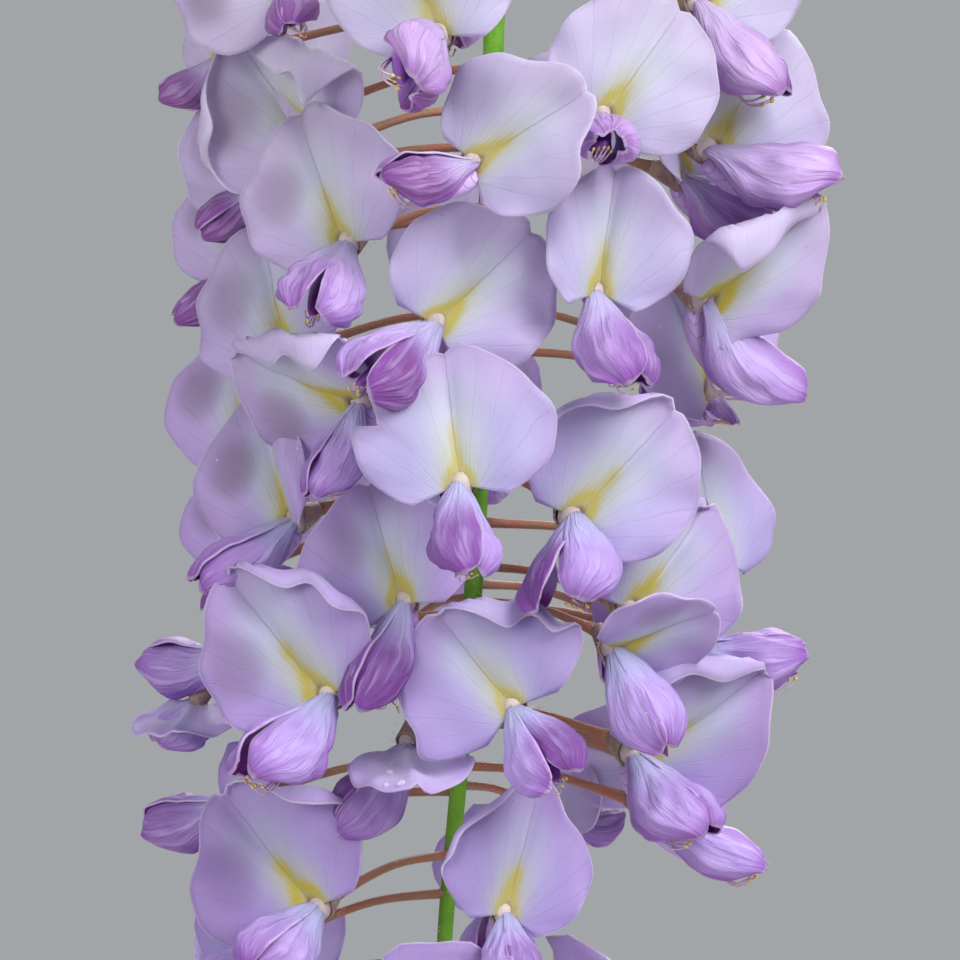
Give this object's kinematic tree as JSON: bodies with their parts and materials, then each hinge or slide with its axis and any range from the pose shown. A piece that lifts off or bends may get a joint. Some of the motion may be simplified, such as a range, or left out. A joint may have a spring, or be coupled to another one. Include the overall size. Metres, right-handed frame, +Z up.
{
  "type": "wisteria in a pot",
  "caption": "Twining wisteria in a plain clay pot, with feathered leaves on arching arms and hanging racemes of lilac pea-like blooms.",
  "frame": {"origin": "centre of the pot's underside, where it rests", "axes": "+Z up along the pot's axis, -Y to the front, +X to the right towards the large raceme"},
  "size_m": [0.519, 0.3504, 0.6974],
  "materials": {
    "clay": "unglazed fired clay, slightly chalky",
    "earth": "crumbly moist potting soil",
    "bark": "grey-brown ridged bark",
    "bloom": "soft satin petal, pale lilac to violet",
    "leaf": "fresh green leaf, low sheen"
  },
  "bodies": {
    "root": {"pot": "clay", "soil": "earth", "vine": "bark", "raceme_main": "bloom", "raceme_left": "bloom", "raceme_back": "bloom", "leaf_1": "leaf", "leaf_2": "leaf", "leaf_3": "leaf", "leaf_4": "leaf", "leaf_5": "leaf", "leaf_6": "leaf", "leaf_7": "leaf", "leaf_8": "leaf"}
  },
  "joints": []
}
